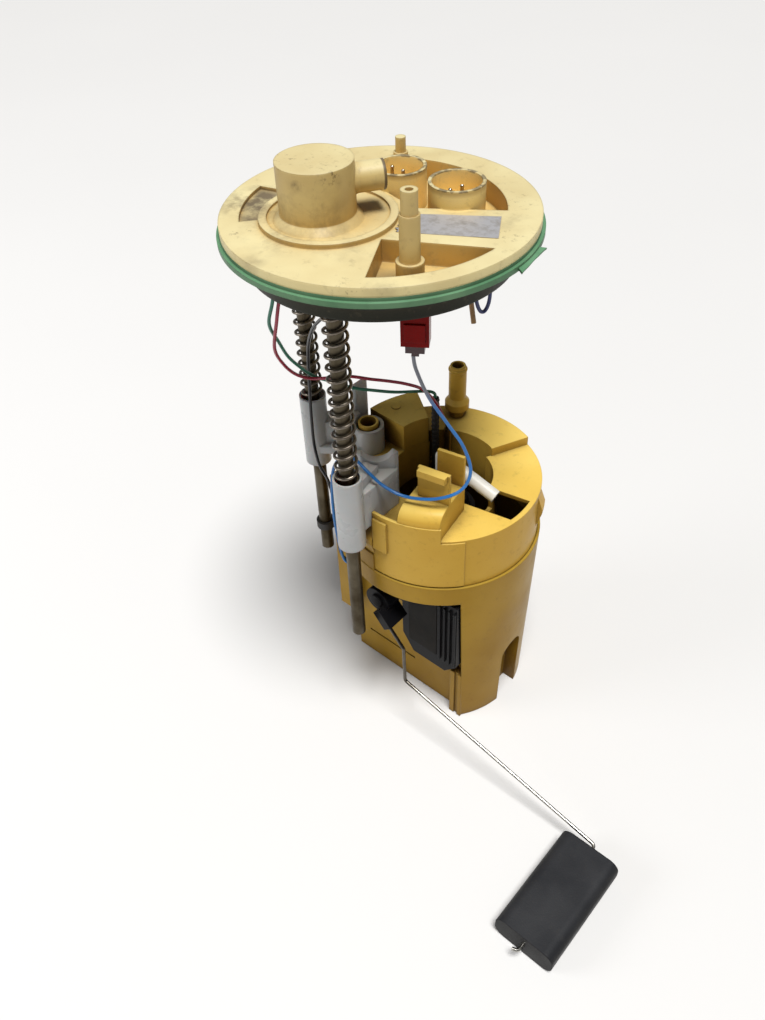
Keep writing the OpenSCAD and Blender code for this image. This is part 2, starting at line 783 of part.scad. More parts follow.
module sensor_body() {
    color([0.12, 0.12, 0.13]) {
        difference() {
            translate([0, -flat_y, 0]) rotate([90, 0, 0]) linear_extrude(sensor_d) polygon([
                [sensor_left, sensor_high], [sensor_right, sensor_high], [sensor_right, sensor_low + 9],
                [sensor_right - 8, sensor_low], [sensor_left + 8, sensor_low],
                [sensor_left, sensor_low + 12]]);
            block([sensor_left + 5, -flat_y - sensor_d - eps, sensor_low + 10],
                [sensor_right - 14, -flat_y - sensor_d + window_depth, sensor_high - 4]);
        }
        block([plate_left, -flat_y - plate_d, plate_low], [sensor_left, -flat_y, sensor_high]);
        for (i = [0 : 3]) translate([sensor_right - 12 + rib_pitch * i, 0, 0])
            block([0, -flat_y - sensor_d - rib_w, sensor_low + 10],
                [rib_w, -flat_y - sensor_d, sensor_high - 4]);
        translate([pivot_x, -flat_y - plate_d + eps, pivot_z]) rotate([90, 0, 0])
            cylinder(r = post_r, h = hub_front + touch_gap - flat_y - plate_d + eps);
        translate([pivot_x, -hub_front - touch_gap, pivot_z]) rotate([90, 0, 0])
            cylinder(r = post_head_r, h = 3 * touch_gap);
    }
}

module sensor_card() {
    color("tan") block(
        [sensor_left + 5 + plug_gap, -flat_y - sensor_d - plug_gap, sensor_low + 10 + plug_gap],
        [sensor_right - 14 - plug_gap, -flat_y - sensor_d + window_depth, sensor_high - 4 - plug_gap]);
}

module sensor_clip() {
    color("khaki") block([pivot_x + 1, -flat_y - 3.5, plate_low - 14],
        [sensor_left - plug_gap, -flat_y, plate_low - seat_gap]);
}

// The arm's hub, with the lug that grips the arm's wire
module arm_hub() {
    lean = atan2(knee_z - pivot_z, knee_x - pivot_x);
    color([0.1, 0.1, 0.1]) difference() {
        union() {
            translate([pivot_x, -hub_back, pivot_z]) rotate([90, 0, 0])
                cylinder(r = hub_r, h = hub_front - hub_back);
            translate([pivot_x, 0, pivot_z]) rotate([0, -lean, 0])
                block([hub_r - 3, arm_y - 2.2, -3.2], [hub_r + 9, -hub_back - 4, 3.2]);
        }
        translate([pivot_x, -hub_back + eps, pivot_z]) rotate([90, 0, 0])
            cylinder(r = post_r + seat_gap, h = hub_front);
        translate([pivot_x, -hub_front, pivot_z]) rotate([90, 0, 0])
            cylinder(r = post_head_r + touch_gap, h = 4);
        translate([pivot_x, arm_y, pivot_z]) rotate([0, 90 - lean, 0])
            cylinder(r = arm_r + seat_gap, h = 3 * hub_r, $fn = 32);
    }
}

// The arm's wire: straight stretches with a round bead at each bend
module arm_wire() {
    lean = atan2(knee_z - pivot_z, knee_x - pivot_x);
    root = [pivot_x + arm_root * cos(lean), arm_y, pivot_z + arm_root * sin(lean)];
    end_x = pivot_x + arm_reach;
    heel = [heel_x, arm_y, heel_z];
    corner = [end_x, arm_y, arm_end_z];
    pin_end = [end_x, arm_end_y, arm_end_z];
    back = (heel - corner) / norm(heel - corner);
    knee = [knee_x, arm_y, knee_z];
    points = [root, knee, heel, corner, pin_end, pin_end + hook_len * back - [0, 1.5, 0]];
    color("silver") for (i = [0 : len(points) - 2]) {
        run = points[i + 1] - points[i];
        translate(points[i]) rotate([0, acos(run[2] / norm(run)), atan2(run[1], run[0])])
            cylinder(r = arm_r, h = norm(run), $fn = 32);
        if (i > 0) translate(points[i]) sphere(r = arm_r * bead, $fn = 32);
    }
}

module wiper() {
    color("goldenrod") translate([pivot_x, 0, pivot_z]) rotate([0, -wiper_angle, 0])
        block([post_head_r, -hub_back, -wiper_w / 2], [hub_r + 4, wiper_t - hub_back, wiper_w / 2]);
}

// The float: a block with rounded edges, bored for the arm's wire
module float_block() {
    end_x = pivot_x + arm_reach;
    low = arm_end_z - float_h / 2 - float_drop;
    color([0.17, 0.17, 0.19]) difference() {
        translate([end_x, float_y, low]) rotate([90, 0, 0]) {
            block([-float_w / 2, float_edge, 0], [float_w / 2, float_h - float_edge, float_len]);
            block([float_edge - float_w / 2, 0, 0], [float_w / 2 - float_edge, float_h, float_len]);
            for (x = [-1, 1], y = [float_edge, float_h - float_edge])
                translate([x * (float_w / 2 - float_edge), y, 0]) cylinder(r = float_edge, h = float_len);
        }
        translate([end_x, float_y + eps, arm_end_z]) rotate([90, 0, 0])
            cylinder(r = arm_r + pin_gap, h = float_len + 2 * eps, $fn = 32);
    }
}

module armature() {
    color("darkred") difference() {
        translate([0, 0, magnet_z + 2]) cylinder(r = armature_r, h = magnet_h - 4);
        cylinder(r = shaft_r + seat_gap, h = can_top);
        for (a = [0 : 45 : 315]) rotate([0, 0, a])
            block([armature_r - 4, -0.8, can_z], [armature_r + 1, 0.8, can_top]);
    }
}

module commutator() {
    color("peru") translate([0, 0, commutator_z]) ring(commutator_r, shaft_r + seat_gap, commutator_h);
}

module rotor_shaft() {
    color("silver") translate([0, 0, shaft_z]) cylinder(r = shaft_r, h = shaft_len);
}

module impeller() {
    color("black") translate([0, 0, can_z + 6 + touch_gap]) difference() {
        cylinder(r = impeller_r, h = impeller_h);
        translate([0, 0, -eps]) cylinder(r = shaft_r + seat_gap, h = impeller_h + 2 * eps);
        for (a = [0 : 20 : 340]) rotate([0, 0, a])
            block([impeller_r - 3, -0.9, -eps], [impeller_r + 1, 0.9, impeller_h + eps]);
    }
}

module check_ball() {
    color("silver") translate(concat(outlet_at, [ball_z])) sphere(r = ball_r);
}

// The D-shaped pocket at the front of the flange, grown by some amount
module front_pocket(grow) {
    intersection() {
        cylinder(r = neck_r + 0.5 + grow, h = 2 * disc_top);
        linear_extrude(2 * disc_top) polygon(front_pocket_plan + grow * front_pocket_grow);
    }
}

// The pocket round the connector sockets, grown by some amount
module socket_pocket(grow) {
    intersection() {
        cylinder(r = socket_pocket_r + grow, h = 2 * disc_top);
        linear_extrude(2 * disc_top) polygon(socket_pocket_plan + grow * socket_pocket_grow);
    }
}

module flange_body() {
    translate([0, 0, disc_z]) cylinder(r = flange_r, h = disc_t);
    translate([0, 0, disc_z - shoulder_h]) ring(shoulder_r, neck_bore, shoulder_h + eps);
    translate([0, 0, neck_z]) ring(neck_r, neck_bore, neck_h + eps);
    intersection() {
        block([-flange_r, -flange_r, tub_z], [flange_r, flange_r, disc_top]);
        union() {
            front_pocket(wall);
            socket_pocket(wall);
        }
    }
    for (p = [front_rod_at, rear_rod_at]) translate(concat(p - flange_at, [rod_boss_z]))
        cylinder(r = rod_boss_r, h = disc_z - rod_boss_z + eps);
}

module socket(at, r) {
    translate(concat(at, [pocket_z - eps])) difference() {
        cylinder(r = r, h = disc_top + socket_h - pocket_z + eps);
        translate([0, 0, socket_floor]) cylinder(r = r - socket_wall, h = pocket_depth + 2 * socket_h);
    }
}

// The turret, hollow, with its base ring and its foot
module turret() {
    translate(concat(turret_base_at, [disc_top - 2 * eps])) {
        cylinder(r = turret_base_r, h = 1 + 2 * eps);
        ring(turret_base_r, turret_base_r - base_ring_w, 2 + 2 * eps);
    }
    translate(concat(turret_at, [disc_top - eps])) {
        cylinder(r = turret_r, h = turret_h + eps);
        translate([0, 0, 2]) cylinder(r1 = turret_r + 3, r2 = turret_r, h = 3);
    }
    translate(concat(turret_at, [outlet_z])) rotate([0, 90, turret_angle]) {
        cylinder(r = outlet_r, h = outlet_len);
        translate([0, 0, outlet_shoulder - outlet_root_h])
            cylinder(r1 = outlet_root_r, r2 = outlet_r, h = outlet_root_h);
    }
    translate(concat(turret_at, [disc_z - turret_foot_h]))
        cylinder(r = turret_foot_r, h = turret_foot_h + eps);
}

module turret_bores() {
    translate(concat(turret_at, [disc_z + 2]))
        cylinder(r = turret_r - turret_wall, h = disc_t + turret_h - turret_wall - 2);
    translate(concat(turret_at, [outlet_z])) rotate([0, 90, turret_angle])
        cylinder(r = outlet_bore_r, h = outlet_len + eps);
    translate(concat(turret_at, [disc_z - turret_foot_h - eps]))
        cylinder(r = turret_foot_bore, h = turret_foot_h + disc_t);
}

module flange_posts() {
    translate(concat(post_at, [pocket_z - eps])) difference() {
        for (step = post_steps) cylinder(r = step[0], h = pocket_depth + step[1]);
        translate([0, 0, pocket_depth + post_steps[2][1] - 1.5]) cylinder(r = post_hole_r, h = 4);
    }
    translate(concat(rear_post_at, [disc_top - eps])) {
        cylinder(r = 2.5, h = rear_post_h + eps);
        cylinder(r = 3.5, h = 3 + eps);
    }
}

module flange_plate() {
    color("cornsilk") translate(concat(flange_at, [0])) difference() {
        union() {
            difference() {
                union() {
                    difference() {
                        flange_body();
                        sector(worn_ring[0], worn_ring[1], disc_top - worn_depth, disc_top + eps,
                            worn_from, worn_to);
                    }
                    turret();
                }
                translate([0, 0, pocket_z]) {
                    intersection() {
                        front_pocket(0);
                        cylinder(r = flange_r, h = 2 * pocket_depth);
                    }
                    intersection() {
                        socket_pocket(0);
                        cylinder(r = flange_r, h = 2 * pocket_depth);
                    }
                }
            }
            socket(right_socket_at, right_socket_r);
            socket(left_socket_at, left_socket_r);
            flange_posts();
        }
        turret_bores();
        for (p = [front_rod_at, rear_rod_at]) translate(concat(p - flange_at, [neck_z]))
            cylinder(r = rod_r + seat_gap, h = rod_top - neck_z);
        for (p = concat(right_pins, left_pins)) translate(concat(p, [neck_z]))
            cylinder(r = pin_r + seat_gap, h = neck_h + disc_t, $fn = 24);
    }
}

// The seal: a flat ring with a thinner lip that stands out beyond the disc
module seal_ring() {
    color("seagreen") translate(concat(flange_at, [disc_z - seal_t])) {
        ring(flange_r, shoulder_r + seat_gap, seal_t);
        ring(seal_r, flange_r - eps, seal_t * 0.6);
    }
}

module terminals(pins) {
    color("silver") translate(concat(flange_at, [neck_z + 3])) for (p = pins)
        translate(concat(p, [0])) {
            cylinder(r = pin_r, h = pin_top - neck_z - 3 - pin_r, $fn = 24);
            translate([0, 0, pin_top - neck_z - 3 - pin_r]) sphere(r = pin_r, $fn = 24);
        }
}

module front_terminals() {
    terminals(right_pins);
}

module rear_terminals() {
    terminals(left_pins);
}

module rod() {
    translate([0, 0, rod_z + 1]) cylinder(r = rod_r, h = rod_top - rod_z - 1);
    translate([0, 0, rod_z]) cylinder(r1 = rod_r - 1, r2 = rod_r, h = 1);
}

module front_rod() {
    color("darkkhaki") translate(front_rod_at) rod();
}

module rear_rod() {
    color("darkkhaki") translate(rear_rod_at) rod();
}

module stop_ring() {
    color("black") translate(concat(rear_rod_at, [stop_z])) ring(stop_r, rod_r + seat_gap, stop_h);
}

module red_connector() {
    color("firebrick") translate(concat(plug_at, [plug_z])) rotate([0, 0, plug_turn]) {
        block([-6, -4, 0], [6, 4, tub_z - plug_z]);
        block([-4.5, -4.8, 2.5], [4.5, -4 + eps, 11]);
    }
}

module connector_tip() {
    color("maroon") translate(concat(plug_at, [plug_z])) rotate([0, 0, plug_turn]) {
        block([-4.2, -3.4, -3.5], [4, 3, 0]);
        block([-1.6, -3.2, -5], [1.6, 1, -3.5 + eps]);
    }
}

module tan_lead() {
    color("tan") cord(tan_route, wire_r * 1.3);
}

module blue_stub() {
    color("navy") cord(stub_route, wire_r);
}

// A spring wound from half-turns that lean to and fro, with a flat half-turn at each end
module spring() {
    base_z = spring_seat + spring_wire_r;
    translate([0, 0, base_z]) rotate([0, 0, 180]) half_turn(spring_r * cos(spring_lean));
    for (i = [0 : 2 * spring_turns - 1]) translate([0, 0, base_z + spring_rise * (i + 0.5)])
        if (i % 2 == 0) rotate([0, spring_lean, 0]) half_turn(spring_r);
        else rotate([0, -spring_lean, 0]) rotate([0, 0, 180]) half_turn(spring_r);
    translate([0, 0, base_z + 2 * spring_rise * spring_turns]) half_turn(spring_r * cos(spring_lean));
}

module half_turn(r) {
    rotate_extrude(angle = 180, $fn = 32) translate([r, 0]) circle(r = spring_wire_r, $fn = 16);
}

module front_spring() {
    color("gray") translate(front_rod_at) spring();
}

module rear_spring() {
    color("gray") translate(rear_rod_at) spring();
}

module green_wire() {
    color("darkgreen") cord(green_route, wire_r);
}

module red_wire() {
    color("maroon") cord(red_route, wire_r);
}

module black_wire() {
    color("black") cord(black_route, wire_r);
}

module blue_wire() {
    color("steelblue") cord(blue_route, wire_r);
}

pot();
pot_cover();
front_bracket();
rear_bracket();
pump_can();
pump_inlet_cap();
pump_outlet_cap();
pump_magnets();
pump_brushes();
pump_mount();
strainer();
foot_valve();
jet_pump();
nozzle_pipe();
lead_sleeve();
contact_lug();
sensor_body();
sensor_card();
sensor_clip();
armature();
commutator();
rotor_shaft();
impeller();
check_ball();
flange_plate();
seal_ring();
front_terminals();
rear_terminals();
front_rod();
rear_rod();
stop_ring();
red_connector();
connector_tip();
tan_lead();
blue_stub();
arm_hub();
arm_wire();
wiper();
float_block();
front_spring();
rear_spring();
green_wire();
red_wire();
black_wire();
blue_wire();
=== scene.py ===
from math import cos, pi, sin

import bpy
from mathutils import Matrix, Vector


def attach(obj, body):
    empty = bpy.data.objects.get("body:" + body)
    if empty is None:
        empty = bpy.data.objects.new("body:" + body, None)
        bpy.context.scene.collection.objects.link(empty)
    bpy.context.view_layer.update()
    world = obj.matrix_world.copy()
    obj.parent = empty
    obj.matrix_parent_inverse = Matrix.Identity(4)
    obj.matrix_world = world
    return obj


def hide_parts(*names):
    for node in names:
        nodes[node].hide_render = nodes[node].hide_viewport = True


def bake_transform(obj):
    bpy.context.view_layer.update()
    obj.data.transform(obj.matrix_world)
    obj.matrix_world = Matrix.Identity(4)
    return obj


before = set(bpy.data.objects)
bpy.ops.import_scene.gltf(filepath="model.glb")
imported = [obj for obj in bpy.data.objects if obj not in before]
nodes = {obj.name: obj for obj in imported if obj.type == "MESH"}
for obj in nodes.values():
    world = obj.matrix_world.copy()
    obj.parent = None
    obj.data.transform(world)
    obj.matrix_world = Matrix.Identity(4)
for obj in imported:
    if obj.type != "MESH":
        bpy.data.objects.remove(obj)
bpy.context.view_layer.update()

# The camera stands front right and high, as the photographer did, turned a little
# about its own axis. The lens gives the photograph's frame on a 36 mm sensor.
CAMERA_PLACE = (0.2305, -0.2953, 0.4741)
SWING, RISE, ROLL = 0.75206, 0.74755, -0.04730
camera_data = bpy.data.cameras.new("camera")
camera_data.sensor_width = 36
camera_data.lens = 31.686
camera = bpy.data.objects.new("camera", camera_data)
camera.matrix_world = (
    Matrix.Translation(CAMERA_PLACE)
    @ Matrix.Rotation(SWING, 4, "Z")
    @ Matrix.Rotation(pi / 2 - RISE, 4, "X")
    @ Matrix.Rotation(ROLL, 4, "Z")
)
bpy.context.scene.collection.objects.link(camera)
bpy.context.scene.camera = camera


# The long leads are thin stranded wires in soft PVC. They are crimped in the flange, or the
# blue one in the red plug, and at the sensor and the pump, and hang free between, held only
# by their stiffness. Their routes are the CAD's own, in millimetres.
def smooth_route(points, per_span=6):
    """A curve through every point, with its spans cut into short straight steps."""
    points = [Vector(p) / 1000 for p in points]
    ends = [2 * points[0] - points[1]] + points + [2 * points[-1] - points[-2]]
    line = []
    for i in range(1, len(ends) - 2):
        a, b, c, d = ends[i - 1 : i + 3]
        for k in range(per_span):
            t = k / per_span
            line.append(
                0.5 * (2 * b + (c - a) * t + (2 * a - 5 * b + 4 * c - d) * t**2
                       + (3 * b - 3 * c + d - a) * t**3)
            )
    return line + [points[-1]]


def tube_along(name, line, radius, sides=10):
    """A round closed tube on a line of points."""
    data = bpy.data.curves.new(name, "CURVE")
    data.dimensions = "3D"
    data.bevel_depth = radius
    data.bevel_resolution = sides // 2 - 2
    data.use_fill_caps = True
    spline = data.splines.new("POLY")
    spline.points.add(len(line) - 1)
    for place, p in zip(spline.points, line):
        place.co = (*p, 1)
    tube = bpy.data.objects.new(name, data)
    bpy.context.scene.collection.objects.link(tube)
    bpy.ops.object.select_all(action="DESELECT")
    bpy.context.view_layer.objects.active = tube
    tube.select_set(True)
    bpy.ops.object.convert(target="MESH")
    bpy.ops.object.shade_smooth()
    return bpy.context.object


def effect_group(name, inputs):
    """A shader group that puts out a colour, a roughness and a normal."""
    group = bpy.data.node_groups.new(name, "ShaderNodeTree")
    for socket, kind, value in inputs:
        made = group.interface.new_socket(
            socket, in_out="INPUT", socket_type="NodeSocket" + kind)
        made.default_value = value
    for socket, kind in (("Colour", "Color"), ("Roughness", "Float"), ("Normal", "Vector")):
        group.interface.new_socket(socket, in_out="OUTPUT", socket_type="NodeSocket" + kind)
    return group, group.nodes.new("NodeGroupInput").outputs, group.nodes.new("NodeGroupOutput")


class Wiring:
    """Adds nodes to a material or a group and joins their sockets."""

    def __init__(self, tree):
        self.tree = tree
        self.coords = None

    def add(self, kind, values=(), **settings):
        node = self.tree.nodes.new("ShaderNode" + kind)
        for key, value in settings.items():
            setattr(node, key, value)
        for socket, value in dict(values).items():
            if isinstance(value, bpy.types.NodeSocket):
                self.tree.links.new(value, node.inputs[socket])
            else:
                node.inputs[socket].default_value = value
        return node

    def place(self):
        """The point in the row frame, in metres."""
        if self.coords is None:
            self.coords = self.add("TexCoord").outputs["Object"]
        return self.coords

    def height(self):
        return self.add("SeparateXYZ", {0: self.place()}).outputs["Z"]

    def noise(self, scale, detail=2, rough=0.5, stretch=None):
        where = self.place()
        if stretch:
            where = self.add("Mapping", {"Vector": where, "Scale": stretch}).outputs[0]
        values = {"Vector": where, "Scale": scale, "Detail": detail, "Roughness": rough}
        return self.add("TexNoise", values).outputs["Fac"]

    def remap(self, value, low, high, to_low=0.0, to_high=1.0):
        values = {"Value": value, "From Min": low, "From Max": high,
                  "To Min": to_low, "To Max": to_high}
        return self.add("MapRange", values).outputs[0]

    def maths(self, operation, a, b=0.0):
        return self.add("Math", {0: a, 1: b}, operation=operation, use_clamp=True).outputs[0]

    def plus(self, a, b):
        return self.maths("ADD", a, b)

    def times(self, a, b):
        return self.maths("MULTIPLY", a, b)

    def mix(self, share, a, b, blend_type="MIX"):
        values = {0: share, 6: a, 7: b}
        return self.add("Mix", values, data_type="RGBA", blend_type=blend_type).outputs[2]

    def vector(self, operation, a, b):
        return self.add("VectorMath", {0: a, 1: b}, operation=operation).outputs

    def near(self, centre, inner, outer):
        """A mask that is full within inner of a point and gone at outer."""
        away = self.vector("DISTANCE", self.place(), centre)["Value"]
        return self.remap(away, inner, outer, 1.0, 0.0)

    def sheltered(self, reach, open_share, closed_share):
        """A mask of the places that walls within reach close in."""
        sky = self.add("AmbientOcclusion", {"Distance": reach}, samples=6).outputs["AO"]
        return self.remap(sky, open_share, closed_share)

    def put_out(self, sink, colour, roughness, normal):
        for socket, value in (("Colour", colour), ("Roughness", roughness), ("Normal", normal)):
            self.tree.links.new(value, sink.inputs[socket])


# Moulded plastic is a base tone that drifts to a deeper one. Its upright faces are painted
# darker as shade, its corners are darkened with dirt and painted shade, dirt lies in specks,
# and it has a fine skin and soft edges.
moulded_group, given, sink = effect_group("moulded_surface", [
    ("Colour", "Color", (0.8, 0.8, 0.8, 1)), ("Deep", "Color", (0.6, 0.6, 0.6, 1)),
    ("Dirt And Shade Colour", "Color", (0.1, 0.08, 0.05, 1)), ("Dirt And Shade", "Float", 0.3),
    ("Roughness", "Float", 0.4), ("Grain", "Float", 0.15), ("Edge", "Float", 0.0005),
    ("Drift Scale", "Float", 24.0), ("Side Shade", "Color", (1, 1, 1, 1)),
])
w = Wiring(moulded_group)
drift = w.remap(w.noise(given["Drift Scale"], 3), 0.35, 0.68)
tone = w.mix(drift, given["Colour"], given["Deep"])
# The side tint multiplies upright faces: painted shade on the sides, where light falls less.
upward = w.add("SeparateXYZ", {0: w.add("NewGeometry").outputs["Normal"]}).outputs["Z"]
upright = w.remap(w.maths("ABSOLUTE", upward), 0.92, 0.35)
side_shaded = w.mix(upright, tone, given["Side Shade"], "MULTIPLY")
# Corners that walls close in are darkened with the dirt colour, as dirt and painted shade.
corner_shade = w.sheltered(0.006, 0.9, 0.3)
speck = w.remap(w.noise(210.0, 6, 0.7), 0.56, 0.72)
dirt_and_shade = w.times(w.plus(corner_shade, w.times(speck, 0.6)), given["Dirt And Shade"])
soiled_and_shaded = w.mix(dirt_and_shade, side_shaded, given["Dirt And Shade Colour"])
skin = w.noise(1300.0, 3, 0.6)
dull = w.plus(given["Roughness"], w.times(dirt_and_shade, 0.25))
gloss = w.plus(dull, w.remap(w.noise(60.0, 4), 0.3, 0.7, -0.05, 0.07))
rounded = w.add("Bevel", {"Radius": given["Edge"]}, samples=4).outputs[0]
relief = w.add("Bump", {"Strength": given["Grain"], "Distance": 0.0002, "Height": skin,
                        "Normal": rounded}).outputs[0]
w.put_out(sink, soiled_and_shaded, gloss, relief)


def new_material(name, **on_shader):
    made = bpy.data.materials.new(name)
    made.use_nodes = True
    shader = made.node_tree.nodes["Principled BSDF"]
    for socket, value in on_shader.items():
        shader.inputs[socket.replace("_", " ")].default_value = value
    return made, shader, Wiring(made.node_tree)


def finished(name, group, values, **on_shader):
    """A material whose colour, roughness and normal come from a shader group."""
    made, shader, wiring = new_material(name, **on_shader)
    surface = wiring.add("Group", values, node_tree=group).outputs
    for socket, target in (("Colour", "Base Color"), ("Roughness", "Roughness"),
                           ("Normal", "Normal")):
        wiring.tree.links.new(surface[socket], shader.inputs[target])
    return made


def group_in(material):
    return next(node for node in material.node_tree.nodes if node.type == "GROUP").inputs


def moulded(name, colour, deep, dirt_and_shade_colour=(0.09, 0.065, 0.035), dirt_and_shade=0.3, rough=0.4,
            grain=0.15, edge=0.0005, drift=24.0, side=(1, 1, 1), **on_shader):
    return finished(name, moulded_group, {
        "Colour": (*colour, 1), "Deep": (*deep, 1), "Dirt And Shade Colour": (*dirt_and_shade_colour, 1),
        "Dirt And Shade": dirt_and_shade, "Roughness": rough, "Grain": grain, "Edge": edge,
        "Drift Scale": drift, "Side Shade": (*side, 1),
    }, **on_shader)


def soft_pvc(name, tone, deep, dirt_and_shade, rough):
    return moulded(name, tone, deep, dirt_and_shade=dirt_and_shade, rough=rough, edge=0.0, grain=0.05, drift=40.0)


WIRE_R = 0.00085
wires = {
    "green": (
        [[-38, -63, 301.7], [-39, -67, 290], [-41, -69, 276], [-46.6, -68, 262],
         [-51.8, -59.4, 246.4], [-57, -50, 231], [-58.5, -40.5, 218.5], [-56, -35, 212],
         [-48, -32, 211], [-38, -26, 208], [-33, -16, 203], [-29, -4, 197], [-26, 8, 192],
         [-22, 15, 190], [-20, 18, 188], [-19.5, 18.5, 185]],
        (0.012, 0.13, 0.075), (0.02, 0.16, 0.10)),
    "red": (
        [[-34, -60, 301.7], [-37, -63, 290], [-39.7, -66.2, 276], [-42.9, -66.6, 264],
         [-51.4, -62.8, 244.6], [-58, -53, 228], [-59, -45, 217.5], [-56, -38, 212.5],
         [-47, -34, 214.5], [-38, -28, 216], [-31, -20, 213], [-27, -10, 208], [-23, -1, 203],
         [-20, 8, 196], [-17, 16, 184], [-15.5, 21, 172], [-15, 24, 165.9]],
        (0.33, 0.015, 0.045), (0.22, 0.01, 0.03)),
    "black": (
        [[-20, -46, 301.7], [-22, -49, 288], [-25, -52, 269], [-34, -47, 260], [-46, -42, 248],
         [-56, -37, 233], [-60, -35, 219], [-61, -35, 204], [-61, -36, 186], [-59, -38, 169],
         [-51, -43, 161], [-41, -47, 158], [-35, -50, 150], [-33, -51, 136], [-32, -52, 121],
         [-30, -51, 109], [-24, -43, 99], [-17, -37, 92], [-12.4, -33, 90]],
        (0.012, 0.011, 0.013), (0.02, 0.018, 0.02)),
    "blue": (
        [[22, -49, 263.7], [22, -47, 255], [25, -42, 239], [30, -35, 223], [36, -30, 209],
         [40, -29, 195], [37, -33, 184], [27, -40, 178], [13, -46, 176], [2, -50, 180],
         [-6, -52, 186], [-14, -52, 189.5], [-21, -53, 189], [-28, -54, 178], [-30, -55, 160],
         [-30, -55, 140], [-29, -54, 122], [-27, -52, 108], [-21, -44, 102], [-12.4, -33, 98]],
        (0.012, 0.16, 0.46), (0.012, 0.11, 0.34)),
}
for colour, (route, tone, deep) in wires.items():
    line = smooth_route(route)
    wire = tube_along(colour + "_wire_skin", line, WIRE_R)
    wire.data.materials.append(soft_pvc(colour + "_pvc", tone, deep, 0.1, 0.33))
    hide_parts(colour + "_wire")
    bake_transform(wire)

# The blue lead has bleached to grey for about 20 mm below the red plug, and under that
# its colour comes back over another 11 mm.
BLEACHED_FROM, BLEACHED_ABOVE = 0.232, 0.243
BLEACHED_GREY = (0.15, 0.16, 0.19, 1)
blue_pvc = bpy.data.materials["blue_pvc"]
w = Wiring(blue_pvc.node_tree)
bleached = w.remap(w.height(), BLEACHED_FROM, BLEACHED_ABOVE)
for socket, kept in zip(("Colour", "Deep"), wires["blue"][1:]):
    w.tree.links.new(w.mix(bleached, (*kept, 1), BLEACHED_GREY), group_in(blue_pvc)[socket])

# Two short leads stay with the flange: a tan one that ends in a crimped tip, and a dark
# blue one that goes down and back up to the underside of the flange.
TAN_WIRE_R = 1.3 * WIRE_R
for name, route, radius, tone, deep, slot, far_end in (
    ("tan_lead", [[25, -17, 301.7], [27, -19, 290], [30, -20, 279], [33, -21.5, 270]],
     TAN_WIRE_R, (0.42, 0.25, 0.10), (0.30, 0.17, 0.07), "wire_tan", "bare"),
    ("blue_stub", [[30, -18, 301.7], [31, -19, 290], [31, -18, 280], [31.5, -15.5, 273],
                   [32.5, -13, 272], [33.5, -11.5, 277], [34, -12, 288], [34, -13, 301.7]],
     WIRE_R, (0.012, 0.02, 0.10), (0.02, 0.03, 0.14), "wire_blue", "object"),
):
    line = smooth_route(route)
    lead = tube_along(name + "_skin", line, radius)
    lead.data.materials.append(soft_pvc(name + "_pvc", tone, deep, 0.15, 0.38))
    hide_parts(name)
    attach(lead, "flange")

# A plain pale floor that reaches past the picture, and soft studio light: a wide bank of
# lamps almost overhead, a little to the right and in front, a soft box at the left, and a
# dim surround that lightens the shadows.
FLOOR_DROP = 0.0003
bpy.ops.mesh.primitive_plane_add(size=60, location=(0, 0, -FLOOR_DROP))
floor = bpy.context.object
floor.name = "floor"
floor_material, shader, w = new_material("pale_floor", Roughness=0.6)
floor_tone = w.mix(w.noise(3.0, 2), (0.64, 0.64, 0.64, 1), (0.66, 0.66, 0.66, 1))
w.tree.links.new(floor_tone, shader.inputs["Base Color"])
floor.data.materials.append(floor_material)


def lamp(name, kind, power, tint, way, place=(0, 0, 0), **settings):
    """A light that shines along way from its place."""
    data = bpy.data.lights.new(name, kind)
    data.energy = power
    data.color = tint
    for key, value in settings.items():
        setattr(data, key, value)
    light = bpy.data.objects.new(name, data)
    light.location = place
    light.rotation_euler = Vector(way).to_track_quat("-Z", "Y").to_euler()
    bpy.context.scene.collection.objects.link(light)


BOX_PLACE, BOX_TARGET = Vector((-0.85, -1.10, 0.70)), Vector((0, -0.03, 0.16))
lamp("left_box", "AREA", 6.5, (0.97, 0.98, 1.0), BOX_TARGET - BOX_PLACE, BOX_PLACE,
     shape="DISK", size=0.7)
lamp("lamp_bank", "SUN", 4.2, (1.0, 0.985, 0.96), (-0.24, 0.14, -1.0), angle=0.38)
world = bpy.data.worlds.new("surround")
world.use_nodes = True
background = world.node_tree.nodes["Background"]
background.inputs["Color"].default_value = (0.96, 0.97, 1.0, 1)
background.inputs["Strength"].default_value = 0.12
bpy.context.scene.world = world
bpy.context.scene.view_settings.view_transform = "Standard"

# The tank flange is one moulding in unfilled acetal, aged to ivory, with a hollow turret
# for the outlet, two sockets in a pocket and a neck below that is painted near-black olive.
# Its rim and its sockets are thin and let light through, painted as a glow. Its upright faces
# are painted darker as shade. Dirt lies where nothing drains.
IVORY, DEEP_IVORY, SIDE_SHADE_IVORY = (0.69, 0.61, 0.345), (0.58, 0.48, 0.25), (0.80, 0.70, 0.52)
GRIME_AND_SHADE = (0.17, 0.135, 0.085, 1)
flange_ivory = moulded("flange_ivory", IVORY, DEEP_IVORY, (0.16, 0.12, 0.07), dirt_and_shade=0.45,
                       rough=0.38, grain=0.2, edge=0.0012, drift=30.0, side=SIDE_SHADE_IVORY,
                       Specular_IOR_Level=0.22)
w = Wiring(flange_ivory.node_tree)
FLANGE_X, FLANGE_Y = -0.021, -0.019
height = w.height()
in_plan = w.vector("MULTIPLY", w.place(), (1, 1, 0))["Vector"]
from_axis = w.vector("DISTANCE", in_plan, (FLANGE_X, FLANGE_Y, 0))["Value"]
neck = w.times(w.remap(height, 0.2984, 0.2979), w.remap(from_axis, 0.0570, 0.0574))
